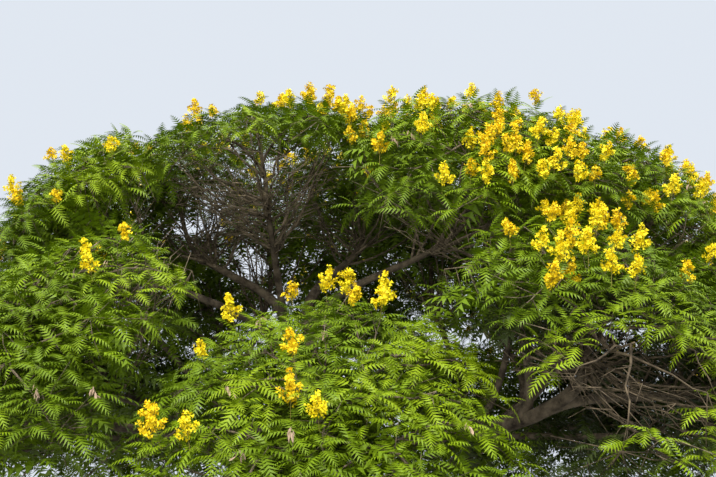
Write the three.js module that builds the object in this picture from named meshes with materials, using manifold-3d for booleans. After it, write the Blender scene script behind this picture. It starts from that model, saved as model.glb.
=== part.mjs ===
// Yellow poinciana: a wide, layered crown on a short trunk, in millimetres, +Z up.
// The origin lies on the ground under the trunk. The crown's open window faces -Y.
// The trunk divides into six main limbs, each limb carries boughs, and each bough
// ends under one umbrella-shaped pad of twigs, leaf sprays and upright blossom.
import * as THREE from "three";
import { mergeVertices } from "three/addons/utils/BufferGeometryUtils.js";
import Module from "manifold-3d";

const wasm = await Module();
wasm.setup();
const { Manifold, Mesh: SolidMesh } = wasm;

// Clearances
const FACE_GAP = 0.3;
const SPACE_GAP = 30;
const LIMB_GAP = 40;

// Trunk
const TRUNK = {
  height: 2600,
  buried: 60,
  lean: -100,
  footRadius: 380,
  topRadius: 225,
  flare: 230,
  flareHeight: 330,
  flareLobes: 5,
  lobeDepth: 0.3,
  sides: 15,
  steps: 7,
  spacing: 1.6,
};

// Main limbs: the share of the trunk's length where each leaves it, and where it forks
const LIMBS = [
  { name: "right_leader", from: 1, fork: [-480, 100, 5830], base: 205, tip: 112 },
  { name: "left_leader", from: 0.93, fork: [-890, 0, 5620], base: 150, tip: 104 },
  { name: "front_right_limb", from: 0.86, fork: [3700, -4200, 3800], base: 150, tip: 98 },
  { name: "back_left_limb", from: 0.82, fork: [-2400, 3000, 4400], base: 145, tip: 98 },
  { name: "back_right_limb", from: 0.9, fork: [3900, 2400, 4400], base: 150, tip: 98 },
  { name: "front_left_limb", from: 0.76, fork: [-1900, -3400, 3200], base: 140, tip: 95 },
];
const LIMB_SIDES = 8;
const LIMB_STEPS = 6;

// Boughs, one to each pad. Below the first, each leaves its limb a step further down.
const BOUGH = { base: 84, tip: 46, sides: 6, steps: 4, firstFork: 0.9, forkStep: 0.085 };
const BOUGH_RISE = 200;
const LOW_PAD_COST = 1.5;

// A limb leaves its parent and arrives at its end in straight runs, with a collar at its foot
const BEND = { leaving: 0.35, arriving: 0.3 };
const COLLAR = { swell: 0.3, length: 0.07 };

// Crown: rings of pads on an oval plan. The window is the gap that shows the limbs.
const OVAL = { x: 1.15, y: 0.96 };
const WINDOW = { azimuth: -102, halfWidth: 14, drop: 1400 };
const APEX = { name: "apex", count: 1, x: 600, y: 600, reach: 0, turn: 0 };
const INNER = { name: "inner", count: 6, x: 500, y: 400, reach: 3400, turn: -116 };
const UPPER = { name: "upper", count: 9, x: 600, y: 200, reach: 5800, turn: -148 };
const SKIRT = { name: "skirt", count: 11, x: 500, y: -400, reach: 6900, turn: -161 };
const TIERS = [
  { ...APEX, top: 9250, radius: 2350, dome: 650, lean: 0 },
  { ...INNER, top: 9080, radius: 2450, dome: 750, lean: 17 },
  { ...UPPER, top: 7720, radius: 2700, dome: 1100, lean: 50, window: "open" },
  { ...SKIRT, top: 5150, radius: 2600, dome: 1100, lean: 52, window: "low" },
];
const WOBBLE = { top: 260, turn: 6 };
const PAD = { depth: 1700, heart: 600 };

// Hollows in the crown, where limbs and bare twigs show: middle, direction and half sizes
const HOLLOWS = [
  { middle: [-1100, -2900, 6450], along: [-100, 950, 290], length: 4000, width: 1800, height: 1350 },
  { middle: [4000, -5600, 3450], along: [260, 950, 150], length: 2600, width: 1350, height: 900 },
];
const LIMB_SAMPLE = 150;

// Each pad has a stem, and twigs that leave it one above the other and lean out all round it.
// Sprays leave a twig to one side, then to the other, and the last goes on from its tip.
const STEM = { rise: 0.82, base: 46, tip: 18, sides: 6 };
const TWIG = { reach: 0.5, rise: 0.8, base: 30, tip: 15, sides: 3 };
const TWIG_ROOTS = { count: 4, first: 0.2, last: 0.42 };
const SPRAY = { reach: 1380, width: 0.68, widest: 0.54, thick: 0.03, arch: 0.06, least: 500, sink: 0.5 };
const SPRAY_HANG = 380;
const SPRAY_FORKS = [0.5, 0.66, 0.8, 0.94];
const SPRAY_TURNS = [-66, 62, -30, 10];
const SPRAY_TURNS_ON_STEM = [45, 135, 225, 315];
const SPRAY_CORE = 0.4;
const BLOSSOM = { onTwigs: 2, height: 600, width: 250, sink: 35 };
const JITTER = { turn: 14, reach: 0.16 };
const SEED = 4100;

const UP = new THREE.Vector3(0, 0, 1);
const BARK = new THREE.MeshStandardMaterial({ color: 0x6f6355, roughness: 0.95, metalness: 0 });
const FOLIAGE = new THREE.MeshStandardMaterial({ color: 0x4a7a1c, roughness: 0.75, metalness: 0 });

// A number from 0 to 1 at each call, the same row of numbers for the same seed
function seeded(seed) {
  let state = seed >>> 0;
  return () => {
    state = (state + 0x6d2b79f5) >>> 0;
    let t = Math.imul(state ^ (state >>> 15), state | 1);
    t = (t + Math.imul(t ^ (t >>> 7), t | 61)) ^ t;
    return ((t ^ (t >>> 14)) >>> 0) / 4294967296;
  };
}

const radians = (degrees) => (degrees * Math.PI) / 180;
const turnBetween = (a, b) => ((((a - b + 180) % 360) + 360) % 360) - 180;

// Solids from closed geometry, and back
function solidOf(geometry) {
  const shape = geometry.index ? geometry.toNonIndexed() : geometry;
  const bare = new THREE.BufferGeometry().setAttribute("position", shape.getAttribute("position"));
  const merged = mergeVertices(bare, 1e-3);
  return new Manifold(
    new SolidMesh({
      numProp: 3,
      vertProperties: merged.getAttribute("position").array,
      triVerts: new Uint32Array(merged.index.array),
    }),
  );
}

function geometryOf(solid) {
  const made = solid.getMesh();
  const geometry = new THREE.BufferGeometry();
  geometry.setAttribute("position", new THREE.BufferAttribute(made.vertProperties, 3));
  geometry.setIndex(new THREE.BufferAttribute(made.triVerts, 1));
  const flat = geometry.toNonIndexed();
  flat.computeVertexNormals();
  return flat;
}

function largestPiece(solid) {
  return solid.decompose().reduce((a, b) => (b.volume() > a.volume() ? b : a));
}

// A closed tube of changing radius along a curve: a cylinder bent onto it.
// Growing it moves its sides and both its ends outwards, for cutting a gap round it.
function tube(curve, radiusAt, { sides, steps, spacing = 1, grow = 0 }) {
  const geometry = new THREE.CylinderGeometry(1, 1, 1, sides, steps).rotateX(Math.PI / 2);
  const position = geometry.getAttribute("position");
  const turn = new THREE.Quaternion();
  const point = new THREE.Vector3();
  for (let i = 0; i < position.count; i++) {
    point.fromBufferAttribute(position, i);
    const t = THREE.MathUtils.clamp(point.z + 0.5, 0, 1) ** spacing;
    const beyond = t === 0 ? -grow : t === 1 ? grow : 0;
    const angle = Math.atan2(point.y, point.x);
    const radius = Math.hypot(point.x, point.y) * (radiusAt(t, angle) + grow);
    turn.setFromUnitVectors(UP, curve.getTangentAt(t));
    point.set(radius * Math.cos(angle), radius * Math.sin(angle), beyond);
    point.applyQuaternion(turn).add(curve.getPointAt(t));
    position.setXYZ(i, point.x, point.y, point.z);
  }
  return geometry;
}

// Trunk with a lobed root flare. It starts below the ground, where it is cut off flat.
const trunkCurve = new THREE.CubicBezierCurve3(
  new THREE.Vector3(0, 0, -TRUNK.buried),
  new THREE.Vector3(0, 0, TRUNK.height * 0.4),
  new THREE.Vector3(TRUNK.lean * 0.6, 0, TRUNK.height * 0.7),
  new THREE.Vector3(TRUNK.lean, 0, TRUNK.height),
);

function trunkGeometry(trunk, grow) {
  const radiusAt = (t, angle) => {
    const lobes = 1 + TRUNK.lobeDepth * Math.cos(TRUNK.flareLobes * angle);
    const flare = TRUNK.flare * Math.exp((-t * TRUNK.height) / TRUNK.flareHeight) * lobes;
    return THREE.MathUtils.lerp(TRUNK.footRadius, TRUNK.topRadius, t) + flare;
  };
  return tube(trunk.curve, radiusAt, { ...TRUNK, grow });
}

// A limb or bough tapers from a collar at its foot
function limbGeometry(limb, grow) {
  const radiusAt = (t) => {
    const collar = limb.leads ? 0 : COLLAR.swell * limb.base * Math.exp(-t / COLLAR.length);
    return THREE.MathUtils.lerp(limb.base, limb.tip, t) + collar;
  };
  return tube(limb.curve, radiusAt, { sides: limb.sides, steps: limb.steps, grow });
}

// The curve of a limb that leaves its parent at a share of the parent's length
function grownCurve(parent, from, end, endDirection, leads) {
  const along = parent.getTangentAt(from);
  const start = parent.getPointAt(from);
  const reach = start.distanceTo(end);
  const away = leads ? along : end.clone().sub(start).normalize().add(along).normalize();
  return new THREE.CubicBezierCurve3(
    start,
    start.clone().addScaledVector(away, reach * BEND.leaving),
    end.clone().addScaledVector(endDirection, -reach * BEND.arriving),
    end,
  );
}

const mainLimbs = LIMBS.map((limb) => {
  const end = new THREE.Vector3(...limb.fork);
  const leads = limb.from === 1;
  const outward = new THREE.Vector3(end.x, end.y, 0).normalize();
  const endDirection = outward.multiplyScalar(Math.hypot(end.x, end.y) / end.z).add(UP).normalize();
  return {
    ...limb,
    leads,
    sides: LIMB_SIDES,
    steps: LIMB_STEPS,
    curve: grownCurve(trunkCurve, limb.from, end, endDirection, leads),
    boughs: [],
  };
});

// Pads, each in a frame of its own: out from the crown's middle, sideways, and along its axis
function makePads() {
  const pads = [];
  const random = seeded(SEED - 1);
  for (const tier of TIERS) {
    for (let k = 0; k < tier.count; k++) {
      const azimuth = tier.turn + (360 * k) / tier.count + WOBBLE.turn * (random() - 0.5);
      const wobble = WOBBLE.top * (random() - 0.5);
      const inWindow = Math.abs(turnBetween(azimuth, WINDOW.azimuth)) < WINDOW.halfWidth;
      if (inWindow && tier.window === "open") continue;
      const a = radians(azimuth);
      const top = new THREE.Vector3(
        tier.x + tier.reach * OVAL.x * Math.cos(a),
        tier.y + tier.reach * OVAL.y * Math.sin(a),
        tier.top + wobble - (inWindow && tier.window === "low" ? WINDOW.drop : 0),
      );
      const frame = new THREE.Matrix4().makeRotationZ(a);
      frame.multiply(new THREE.Matrix4().makeRotationY(radians(tier.lean)));
      frame.setPosition(top);
      const place = (out, side, up) => new THREE.Vector3(out, side, up).applyMatrix4(frame);
      const axis = place(0, 0, 1).sub(top);
      pads.push({
        name: `${tier.name}_${k + 1}`,
        seed: SEED + pads.length,
        radius: tier.radius,
        dome: tier.dome,
        place,
        axis,
        foot: place(0, 0, -PAD.depth),
        heart: place(0, 0, -PAD.heart),
      });
    }
  }
  return pads;
}

const pads = makePads();

// Each pad hangs on the limb whose fork is nearest below it
function shareOutPads() {
  for (const pad of pads) {
    const cost = (limb) => {
      const fork = limb.curve.v3;
      const below = Math.max(0, fork.z + BOUGH_RISE - pad.foot.z);
      return fork.distanceTo(pad.foot) + LOW_PAD_COST * below;
    };
    const limb = mainLimbs.reduce((a, b) => (cost(b) < cost(a) ? b : a));
    limb.boughs.push({ name: `${pad.name}_bough`, pad });
  }
}

// A limb's boughs: the straightest goes on from its tip, the others leave below it in turn
function growBoughs(limb) {
  const tangent = limb.curve.getTangentAt(1);
  const tip = limb.curve.getPointAt(1);
  const straightness = (bough) => bough.pad.foot.clone().sub(tip).normalize().dot(tangent);
  limb.boughs.sort((a, b) => straightness(b) - straightness(a));
  limb.boughs.forEach((bough, k) => {
    const leads = k === 0;
    const from = leads ? 1 : BOUGH.firstFork - BOUGH.forkStep * (k - 1);
    Object.assign(bough, {
      leads,
      base: leads ? limb.tip : BOUGH.base,
      tip: BOUGH.tip,
      sides: leads ? LIMB_SIDES : BOUGH.sides,
      steps: BOUGH.steps,
      curve: grownCurve(limb.curve, from, bough.pad.foot, bough.pad.axis, leads),
    });
  });
}

shareOutPads();
mainLimbs.forEach(growBoughs);
const boughs = mainLimbs.flatMap((limb) => limb.boughs);

// Points along all limbs, with the radius there, for keeping leaves clear of them
const limbPoints = [...mainLimbs, ...boughs].flatMap((limb) => {
  const count = Math.ceil(limb.curve.getLength() / LIMB_SAMPLE);
  return Array.from({ length: count + 1 }, (_, i) => ({
    pad: limb.pad,
    point: limb.curve.getPointAt(i / count),
    radius: THREE.MathUtils.lerp(limb.base, limb.tip, i / count),
  }));
});

// A pad's space is every place that is nearer to its heart than to any other's.
// The share of the way from one point to another that stays in the space:
function shareInSpace(pad, from, to) {
  let share = Infinity;
  for (const other of pads) {
    if (other === pad) continue;
    const away = other.heart.clone().sub(pad.heart);
    const half = away.length() / 2;
    away.normalize();
    const room = half - SPACE_GAP - from.clone().sub(pad.heart).dot(away);
    const step = to.clone().sub(from).dot(away);
    if (room < 0) return 0;
    if (step > 0) share = Math.min(share, room / step);
  }
  return share;
}

const inSpace = (pad, point) => shareInSpace(pad, pad.heart, point) >= 1;

function touchesLimb(start, end, radius, ownPad) {
  const line = new THREE.Line3(start, end);
  const nearest = new THREE.Vector3();
  return limbPoints.some((limb) => {
    if (limb.pad === ownPad) return false;
    line.closestPointToPoint(limb.point, true, nearest);
    return nearest.distanceTo(limb.point) < limb.radius + radius + LIMB_GAP;
  });
}

// How far a pad reaches at an angle of its plan: its radius, or to the edge of its space
function padReach(pad, angle) {
  const rim = pad.place(pad.radius * Math.cos(angle), pad.radius * Math.sin(angle), -pad.dome);
  return pad.radius * Math.min(1, shareInSpace(pad, pad.place(0, 0, -pad.dome), rim));
}

// A point over the pad's plan, at a share of the way up from its foot to its domed top
function padPoint(pad, angle, reach, rise) {
  const top = -pad.dome * (reach / pad.radius) ** 2;
  const up = -PAD.depth + (top + PAD.depth) * rise;
  return pad.place(reach * Math.cos(angle), reach * Math.sin(angle), up);
}

// The way that a pad's domed top faces at a place of its plan
function domeNormal(pad, angle, reach) {
  const slope = (2 * pad.dome * reach) / pad.radius ** 2;
  const facing = pad.place(slope * Math.cos(angle), slope * Math.sin(angle), 1);
  return facing.sub(pad.place(0, 0, 0)).normalize();
}

function inHollow(point) {
  return HOLLOWS.some(({ middle, along, length, width, height }) => {
    const way = point.clone().sub(new THREE.Vector3(...middle));
    const forward = new THREE.Vector3(...along).normalize();
    const side = forward.clone().cross(UP).normalize();
    const upward = side.clone().cross(forward);
    return Math.hypot(way.dot(forward) / length, way.dot(side) / width, way.dot(upward) / height) < 1;
  });
}

function rod(start, end, base, tip, sides) {
  const length = start.distanceTo(end);
  const geometry = new THREE.CylinderGeometry(tip, base, length, sides, 1);
  geometry.rotateX(Math.PI / 2).translate(0, 0, length / 2);
  const turn = new THREE.Quaternion().setFromUnitVectors(UP, end.clone().sub(start).normalize());
  return geometry.applyQuaternion(turn).translate(start.x, start.y, start.z);
}

// The six corners of a leaf spray: root and tip, both sides, and below and above its middle
function sprayCorners(root, tip, normal) {
  const along = tip.clone().sub(root);
  const length = along.length();
  along.normalize();
  const side = normal.clone().cross(along).normalize();
  const up = along.clone().cross(side);
  const middle = root.clone().addScaledVector(along, length * SPRAY.widest);
  const ridge = middle.clone().addScaledVector(up, length * SPRAY.arch);
  const half = (length * SPRAY.width) / 2;
  const thick = (length * SPRAY.thick) / 2;
  return {
    x: [root, tip],
    y: [middle.clone().addScaledVector(side, -half), middle.clone().addScaledVector(side, half)],
    z: [ridge.clone().addScaledVector(up, -thick), ridge.clone().addScaledVector(up, thick)],
  };
}

function sprayGeometry(corners) {
  const geometry = new THREE.OctahedronGeometry(1, 0);
  const position = geometry.getAttribute("position");
  const point = new THREE.Vector3();
  for (let i = 0; i < position.count; i++) {
    point.fromBufferAttribute(position, i);
    const axis = ["x", "y", "z"].find((name) => Math.abs(point[name]) > 0.5);
    const corner = corners[axis][point[axis] > 0 ? 1 : 0];
    position.setXYZ(i, corner.x, corner.y, corner.z);
  }
  return geometry;
}

// An upright spike of blossom, its foot sunk in the tip of the twig that it stands on
function blossomGeometry(twig) {
  const geometry = new THREE.OctahedronGeometry(1, 0);
  geometry.scale(BLOSSOM.width / 2, BLOSSOM.width / 2, BLOSSOM.height / 2);
  const foot = twig.end.clone().sub(twig.start).setLength(-BLOSSOM.sink).add(twig.end);
  return geometry.translate(foot.x, foot.y, foot.z + BLOSSOM.height / 2);
}

// A pad's stem, then its twigs, each higher up the stem than the last
function growTwigs(pad, random) {
  const spin = random() * 360;
  const start = pad.foot.clone().addScaledVector(pad.axis, FACE_GAP);
  const stem = { ...STEM, start, end: padPoint(pad, 0, 0, STEM.rise), angle: spin, reach: 0 };
  const { count, first, last } = TWIG_ROOTS;
  const twigs = Array.from({ length: count }, (_, i) => {
    const angle = spin + (360 / count) * i + JITTER.turn * (random() - 0.5);
    const reach = TWIG.reach * padReach(pad, radians(angle));
    const root = THREE.MathUtils.lerp(first, last, i / (count - 1));
    return {
      ...TWIG,
      start: stem.start.clone().lerp(stem.end, root),
      end: padPoint(pad, radians(angle), reach, TWIG.rise),
      angle,
      reach,
    };
  });
  return [stem, ...twigs];
}

// The sprays of a twig. Those of the stem point between the twigs.
function growSprays(pad, twig, random) {
  const turns = twig.reach ? SPRAY_TURNS : SPRAY_TURNS_ON_STEM;
  return SPRAY_FORKS.map((fork, i) => {
    const root = twig.start.clone().lerp(twig.end, fork);
    const heading = radians(twig.angle + turns[i] + JITTER.turn * (random() - 0.5));
    const length = SPRAY.reach * (1 - JITTER.reach * random());
    const from = twig.reach * fork;
    const out = from * Math.cos(radians(twig.angle)) + length * Math.cos(heading);
    const side = from * Math.sin(radians(twig.angle)) + length * Math.sin(heading);
    const angle = Math.atan2(side, out);
    const reach = Math.min(Math.hypot(out, side), padReach(pad, angle));
    const tip = padPoint(pad, angle, reach, 1);
    if (twig.reach && i === turns.length - 1) tip.addScaledVector(pad.axis, -SPRAY_HANG);
    const way = tip.clone().sub(root).normalize();
    root.addScaledVector(way, -SPRAY.sink * THREE.MathUtils.lerp(twig.base, twig.tip, fork));
    return { root, tip, corners: sprayCorners(root, tip, domeNormal(pad, angle, reach)) };
  });
}

// A spray keeps to its pad's space, and clear of limbs and of the sprays grown before it
function hasRoom(pad, spray, solid, grown) {
  const points = Object.values(spray.corners).flat();
  const length = spray.root.distanceTo(spray.tip);
  if (length < SPRAY.least || !points.every((point) => inSpace(pad, point))) return false;
  if (inHollow(spray.tip) || inHollow(spray.corners.z[1])) return false;
  if (touchesLimb(spray.root, spray.tip, length * SPRAY.width * SPRAY_CORE, pad)) return false;
  return grown.every((other) => other.intersect(solid).isEmpty());
}

// One pad of foliage: stem, twigs, sprays and blossom, grown by a seeded rule and joined
function padSolid(pad) {
  const random = seeded(pad.seed);
  const wood = [];
  const sprays = [];
  growTwigs(pad, random).forEach((twig, i) => {
    if (touchesLimb(twig.start, twig.end, twig.base, pad)) return;
    wood.push(rod(twig.start, twig.end, twig.base, twig.tip, twig.sides));
    for (const spray of growSprays(pad, twig, random)) {
      const solid = solidOf(sprayGeometry(spray.corners));
      if (hasRoom(pad, spray, solid, sprays)) sprays.push(solid);
    }
    if (i < BLOSSOM.onTwigs && !inHollow(twig.end)) wood.push(blossomGeometry(twig));
  });
  return largestPiece(Manifold.union([...wood.map(solidOf), ...sprays]));
}

// Everything joined in one group, each limb cut clear of those that it meets
const tree = new THREE.Group();
const cutters = [];

function addNode(name, solid, material) {
  const mesh = new THREE.Mesh(geometryOf(solid), material);
  mesh.name = name;
  tree.add(mesh);
}

function nearby(a, b) {
  return [0, 1, 2].every((i) => a.min[i] < b.max[i] && b.min[i] < a.max[i]);
}

function addLimb(limb, geometryFor) {
  let solid = solidOf(geometryFor(limb, 0)).trimByPlane([0, 0, 1], 0);
  const box = solid.boundingBox();
  for (const cutter of cutters) {
    if (nearby(box, cutter.box)) solid = solid.subtract(cutter.solid);
  }
  addNode(limb.name, largestPiece(solid), BARK);
  const grown = solidOf(geometryFor(limb, FACE_GAP));
  cutters.push({ solid: grown, box: grown.boundingBox() });
}

addLimb({ name: "trunk", curve: trunkCurve }, trunkGeometry);
mainLimbs.forEach((limb) => addLimb(limb, limbGeometry));
boughs.forEach((bough) => addLimb(bough, limbGeometry));
pads.forEach((pad) => addNode(`${pad.name}_foliage`, padSolid(pad), FOLIAGE));

export default tree;
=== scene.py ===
# The looks of a yellow poinciana tree, in metres, with +Z up and the view along +Y. Trunk,
# limbs, boughs and pads of foliage follow the rule of the solids, and here the rule goes on
# to finer twigs, tufts of feathery leaves, upright blossom and a few dry pods.
# Angles are in degrees, or in radians where a comment says so. Two numbers in brackets are
# a range, or the values at root and tip.
from math import atan2, ceil, cos, exp, hypot, inf, pi, radians, sin, sqrt

import bpy
import numpy as np
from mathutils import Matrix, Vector, noise


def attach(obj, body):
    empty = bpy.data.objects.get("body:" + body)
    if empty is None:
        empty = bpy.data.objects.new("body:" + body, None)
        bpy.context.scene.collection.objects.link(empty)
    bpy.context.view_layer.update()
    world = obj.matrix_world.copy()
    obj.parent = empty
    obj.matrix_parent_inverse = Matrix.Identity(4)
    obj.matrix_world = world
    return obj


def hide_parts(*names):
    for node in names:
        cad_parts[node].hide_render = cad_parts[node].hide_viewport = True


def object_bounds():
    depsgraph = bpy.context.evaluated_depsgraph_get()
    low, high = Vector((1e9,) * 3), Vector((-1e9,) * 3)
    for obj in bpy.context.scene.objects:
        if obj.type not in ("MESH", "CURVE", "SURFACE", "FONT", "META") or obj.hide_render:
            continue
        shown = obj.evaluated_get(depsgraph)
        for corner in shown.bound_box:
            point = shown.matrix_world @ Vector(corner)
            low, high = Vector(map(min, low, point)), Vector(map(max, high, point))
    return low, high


# Clearances
SPACE_GAP = 0.03
LIMB_GAP = 0.04
TWIG_ROOM = 0.02

# Trunk. Its middle points are given as shares of its height and of its lean.
TRUNK_HEIGHT = 2.6
TRUNK_BURIED = 0.06
TRUNK_LEAN = -0.1
TRUNK_BENDS = (0.4, 0.7)
LEAN_AT_BEND = 0.6
TRUNK_FOOT = 0.38
TRUNK_TOP = 0.225
FLARE = 0.23
FLARE_HEIGHT = 0.33
FLARE_LOBES = 5
LOBE_DEPTH = 0.3

# Main limbs: name, share of the trunk where each leaves it, its fork, and its radii
LIMBS = [
    ("right_leader", 1, (-0.48, 0.1, 5.83), 0.205, 0.112),
    ("left_leader", 0.93, (-0.89, 0, 5.62), 0.15, 0.104),
    ("front_right_limb", 0.86, (3.7, -4.2, 3.8), 0.15, 0.098),
    ("back_left_limb", 0.82, (-2.4, 3, 4.4), 0.145, 0.098),
    ("back_right_limb", 0.9, (3.9, 2.4, 4.4), 0.15, 0.098),
    ("front_left_limb", 0.76, (-1.9, -3.4, 3.2), 0.14, 0.095),
]
BOUGH_BASE = 0.084
BOUGH_TIP = 0.046
FIRST_FORK = 0.9
FORK_STEP = 0.085
BOUGH_RISE = 0.2
LOW_PAD_COST = 1.5
LEAVING = 0.35
ARRIVING = 0.3
COLLAR_SWELL = 0.3
COLLAR_LENGTH = 0.07
LEADER_SWELL = 0.02
LEADER_SWELL_LENGTH = 0.05

# Bark: sides of a ring, space between rings, depth of the relief and scale of its grain
TRUNK_BARK = dict(sides=64, spacing=0.03, depth=0.012, grain=9)
LIMB_BARK = dict(sides=26, spacing=0.045, depth=0.007, grain=13)
BOUGH_BARK = dict(sides=12, spacing=0.09, depth=0.004, grain=18)
LEAST_RINGS = 6
LIMB_ASIDE = (0.3, 1, 0.1)
GRAIN_STRETCH = 0.22
KNOB_SCALE = 0.22
KNOB_HEIGHT = 0.9
FINE_SCALE = 3
FINE_HEIGHT = 0.25
CRACK_WIDTH = 0.13

# Crown: rings of pads on an oval plan
OVAL_X = 1.15
OVAL_Y = 0.96
WINDOW_AZIMUTH = -102
WINDOW_HALF_WIDTH = 14
WINDOW_DROP = 1.4
TIER_FIELDS = ("name", "count", "x", "y", "reach", "turn", "top", "radius", "dome", "lean")
TIER_ROWS = [
    ("apex", 1, 0.6, 0.6, 0, 0, 9.25, 2.35, 0.65, 0),
    ("inner", 6, 0.5, 0.4, 3.4, -116, 9.08, 2.45, 0.75, 17),
    ("upper", 9, 0.6, 0.2, 5.8, -148, 7.72, 2.7, 1.1, 50),
    ("skirt", 11, 0.5, -0.4, 6.9, -161, 5.15, 2.6, 1.1, 52),
]
TIERS = [dict(zip(TIER_FIELDS, row)) for row in TIER_ROWS]
# How far below a pad's top its storeys of tufts lie, and its number of leafy shoots
LOW_STOREYS = (0.18, 0.55, 0.95, 1.35, 1.75)
STOREYS = dict(apex=(0.16, 0.5), inner=(0.16, 0.5), upper=LOW_STOREYS[:3], skirt=LOW_STOREYS)
BACK_STOREYS = (0.8, 1.2)
SHOOTS = dict(apex=0, inner=4, upper=12, skirt=30)
OPEN_TIER = "upper"
LOW_TIER = "skirt"
WOBBLE_TOP = 0.26
WOBBLE_TURN = 6
PAD_DEPTH = 1.7
PAD_HEART = 0.6
LIMB_SAMPLE = 0.15

# Hollows in the crown, where limbs and bare twigs show: middle, direction and half sizes
HOLLOWS = [
    ((-1.25, -2.9, 6.45), (-0.1, 0.95, 0.29), (4.0, 1.65, 1.35)),
    ((4.0, -5.6, 3.6), (0.26, 0.95, 0.15), (2.6, 1.35, 0.75)),
    ((1.7, -4.0, 5.85), (0.08, 0.96, 0.27), (2.5, 0.8, 0.5)),
    ((5.1, -3.6, 6.3), (0.29, 0.96, 0.29), (2.0, 0.9, 0.3)),
]
# Narrow gaps through which the sky shows
SKY_GAPS = [
    ((-1.95, 3.2, 7.7), (-0.11, 1, 0.277), (5.5, 0.55, 0.6)),
    ((-3.45, 3.5, 8.7), (-0.17, 0.95, 0.3), (5, 0.9, 0.4)),
]
HOLLOW_EDGE = 1.45
# The shaded space in and behind the cave at the lower right, where low leaves and twigs take darker colours
# as painted shade
CAVE = ((4.7, -2.0, 4.1), (0.26, 0.95, 0.15), (7.5, 2.6, 1.5))
# Of so many low twigs beside a hollow, this many are bare
BARE_OF = 5
BARE_SHARE = 3

# Stem, twigs and spray axes of a pad, as in the solids
STEM_RISE = 0.82
STEM_RADII = (0.046, 0.018)
TWIG_REACH = 0.5
TWIG_RISE = 0.8
TWIG_RADII = (0.03, 0.012)
TWIG_COUNT = 4
TWIG_ROOTS = (0.2, 0.42)
TWIG_BEND = 0.07
TWIG_CROOK = 0.025
SPRAY_REACH = 1.38
SPRAY_HANG = 0.38
SPRAY_SINK = 0.15
SPRAY_LEAST = 0.5
SPRAY_ARCH = 0.054
SPRAY_CROOK = 0.03
SPRAY_RADII = (0.021, 0.007)
SPRAY_FORKS = (0.5, 0.66, 0.8, 0.94)
SPRAY_TURNS = (-66, 62, -30, 10)
SPRAY_TURNS_ON_STEM = (45, 135, 225, 315)
JITTER_TURN = 14
JITTER_REACH = 0.16
SEED = 4100
SEED_STEP = 0x6D2B79F5
MASK = 0xFFFFFFFF
# Steps of the line along a twig or spray, and how many lie between two of its bends
LINE_STEPS = 20
LINE_KNOT = 4

# Finer twigs on each spray axis, which end in tufts of leaves
SPRIG_FORKS = (0.22, 0.4, 0.56, 0.7, 0.84, 0.95)
SPRIG_TURN = 48
SPRIG_JITTER = 16
SPRIG_REACH = 0.62
SPRIG_TAPER = 0.62
SPRIG_LENGTHS = (0.75, 1.15)
SPRIG_RADII = (0.008, 0.0035)
SPRIG_DROP = (0.08, 0.32)
END_TUFT_ROOT = 16
RIM_INSET = 0.26
SEAM_INSET = 0.04
EDGE_INSET = 0.16
EDGE_SLACK = 1.01
TUFT_SPACING = 0.27
LOW_SPACING = 0.34
BACK_SPACING = 0.32
LOW_DROP = 0.42

# Tufts that fill what is still open: storeys in a pad, a curtain down its free rim, and shoots
FILL_TRIES = 170
FILL_JITTER = 0.12
FILL_REACH = 1.1
FILL_HANG = 0.2
CURTAIN_TRIES = 36
CURTAIN_DROPS = (0.35, 0.75, 1.15, 1.5)
CURTAIN_INSET = 0.2
FREE_RIM = 0.66
SHOOT_SHARES = (0.3, 0.97)
SHOOT_REACH = (0.35, 0.85)
SHOOT_SPREAD = (1, 1, 0.7)
SHOOT_RISE = 0.3

# Ribs: bare branches under the leaves, and many thin ones beside the hollows
RIBS = dict(count=13, forks=6, drops=(0.35, 0.8))
THIN_RIBS = dict(count=46, forks=9, drops=(0.15, 1.3))
RIB_RADII = (0.03, 0.009)
THIN_RIB_RADII = (0.016, 0.005)
RIB_STEPS = 12
RIB_KNOT = 2
RIB_CROOK = 0.025
RIB_ROOTS = (0.62, 0.99)
RIB_REACH = (0.5, 0.92)
RIB_SAG = 0.1
RIB_BEND = 0.05
RIB_FIRST_FORK = 3
# In radians
RIB_TWIG_TURN = (0.4, 1.1)
# Along the pad's axis, then in metres
RIB_TWIG_RISE = (-0.1, 0.5)
RIB_TWIG_REACH = (0.3, 0.7)
RIB_TWIG_RADII = (0.009, 0.004)
# Kinds of twigs: name, radii, sides, and steps between two points that are drawn
TWIGS = [
    ("stems", STEM_RADII, 8, LINE_KNOT),
    ("twigs", TWIG_RADII, 6, LINE_KNOT),
    ("sprays", SPRAY_RADII, 4, LINE_KNOT),
    ("ribs", RIB_RADII, 5, RIB_KNOT),
    ("thin_ribs", THIN_RIB_RADII, 4, RIB_KNOT),
]
# The finest twigs: name, radii and number of steps
FINE_TWIGS = [("sprigs", SPRIG_RADII, 2), ("low_sprigs", SPRIG_RADII, 1), ("bare", RIB_TWIG_RADII, 1)]
FINE_BEND = 0.03
FINE_SIDES = 3

# Leaves: a stalk with pairs of narrow side blades, made one metre long and then scaled.
# Those of the low tufts, in the shade, have fewer and longer blades.
FINE_LEAF = dict(pairs=8, length=0.28, spread=0.4)
LOW_LEAF = dict(pairs=5, length=0.33, spread=0.5)
LEAF_KINDS = 6
LEAF_STEPS = 40
LEAF_LENGTH = 0.45
LOW_LEAF_LENGTH = 0.54
# Slope at the foot and bend up to the tip, both in radians, and sway to one side
LEAF_RISE = (0.1, 0.4)
LEAF_BEND = (0.7, 1.3)
LEAF_SWAY = (-0.12, 0.12)
FIRST_PAIR = 0.2
LAST_PAIR = 0.97
PAIR_CROWDING = 0.92
STALK_SIDE = np.array([0, 0.01, 0])
BLADE_THINNING = 0.35
BLADE_DROOP = 0.22
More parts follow.
